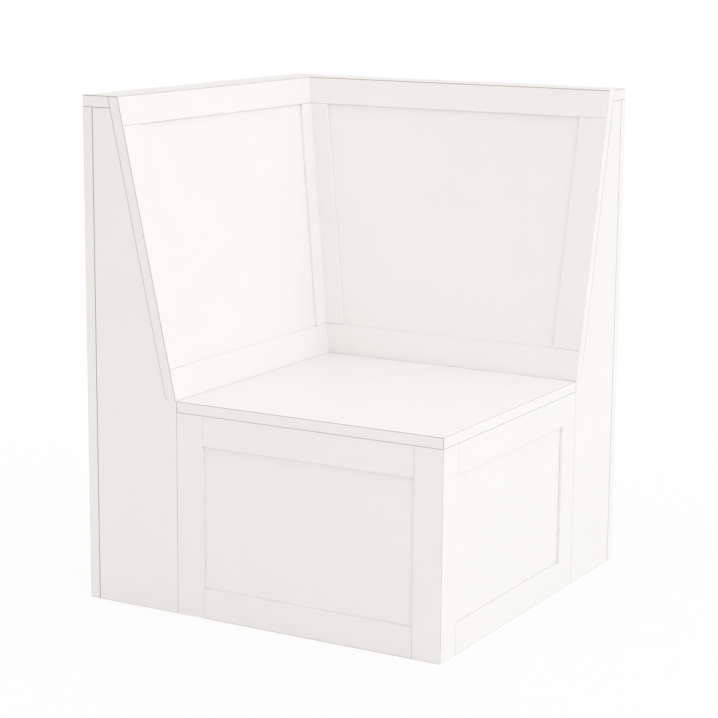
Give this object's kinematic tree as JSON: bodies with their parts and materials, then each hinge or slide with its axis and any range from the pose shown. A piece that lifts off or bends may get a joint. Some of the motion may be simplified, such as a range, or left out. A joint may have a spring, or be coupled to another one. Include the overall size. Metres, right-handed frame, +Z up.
{
  "type": "corner storage bench",
  "caption": "White corner bench with two sloping framed backs that meet in a mitre, over a framed storage box with a lift-up seat lid.",
  "frame": {"origin": "on the floor, under the middle of the square footprint", "axes": "+Z up; +X towards the right-hand framed face of the seat box; -Y towards its front framed face; the two backs run along the -X and +Y sides"},
  "size_m": [0.7, 0.7, 0.889],
  "materials": {
    "white_paint": "satin white paint on board",
    "inner_paint": "flat white paint on board, inside the box",
    "white_enamel": "white enamelled steel, hinge",
    "steel": "zinc-plated steel",
    "chrome": "polished rod",
    "black_paint": "black painted tube"
  },
  "bodies": {
    "bench": {"front_end_panel": "white_paint", "right_end_panel": "white_paint", "left_outer_board": "white_paint", "rear_outer_board": "white_paint", "left_top_cap": "white_paint", "rear_top_cap": "white_paint", "left_back_bottom_rail": "white_paint", "left_back_top_rail": "white_paint", "left_back_outer_stile": "white_paint", "left_back_inner_stile": "white_paint", "left_back_panel": "white_paint", "left_back_end_strip": "white_paint", "rear_back_bottom_rail": "white_paint", "rear_back_top_rail": "white_paint", "rear_back_outer_stile": "white_paint", "rear_back_inner_stile": "white_paint", "rear_back_panel": "white_paint", "rear_back_end_strip": "white_paint", "front_frame_inner_stile": "white_paint", "front_frame_corner_stile": "white_paint", "front_frame_bottom_rail": "white_paint", "front_frame_top_rail": "white_paint", "front_frame_panel": "white_paint", "right_frame_inner_stile": "white_paint", "right_frame_corner_stile": "white_paint", "right_frame_bottom_rail": "white_paint", "right_frame_top_rail": "white_paint", "right_frame_panel": "white_paint", "left_inner_wall": "inner_paint", "rear_inner_wall": "inner_paint", "storage_floor": "inner_paint", "left_wall_floor_cleat": "inner_paint", "rear_wall_floor_cleat": "inner_paint", "front_floor_cleat": "inner_paint", "right_floor_cleat": "inner_paint", "front_joint_cleat": "inner_paint", "right_joint_cleat": "inner_paint", "corner_post": "inner_paint", "left_lid_cleat": "inner_paint", "rear_lid_cleat": "inner_paint", "hinge_wall_leaf": "white_enamel", "hinge_pin": "white_enamel", "hinge_wall_screw_1": "steel", "hinge_wall_screw_2": "steel", "hinge_wall_screw_3": "steel", "hinge_wall_screw_4": "steel", "strut_wall_bracket": "steel", "strut_wall_screw_1": "steel", "strut_wall_screw_2": "steel"},
    "lid": {"seat_lid": "white_paint", "hinge_lid_leaf": "white_enamel", "hinge_lid_screw_1": "steel", "hinge_lid_screw_2": "steel", "hinge_lid_screw_3": "steel", "hinge_lid_screw_4": "steel", "strut_lid_bracket": "steel", "strut_lid_screw_1": "steel", "strut_lid_screw_2": "steel"},
    "strut_tube": {"strut_tube": "black_paint"},
    "strut_rod": {"strut_rod": "chrome"}
  },
  "joints": [
    {"name": "lid_hinge", "type": "hinge", "parent": "bench", "child": "lid", "pos_m": [0, 0.1627, 0.375], "axis": [-1, 0, 0], "range_deg": [0, 90]},
    {"name": "strut_tube_pivot", "type": "hinge", "parent": "bench", "child": "strut_tube", "pos_m": [-0.148, 0.12772, 0.18825], "axis": [-1, 0, 0], "range_deg": [0, 45]},
    {"name": "strut_rod_pivot", "type": "hinge", "parent": "lid", "child": "strut_rod", "pos_m": [-0.148, -0.02475, 0.344], "axis": [-1, 0, 0], "range_deg": [-45, 0]}
  ],
  "couplings": [
    {"joint": "strut_tube_pivot", "follows": "lid_hinge", "ratio": 0.5},
    {"joint": "strut_rod_pivot", "follows": "lid_hinge", "ratio": -0.5}
  ]
}
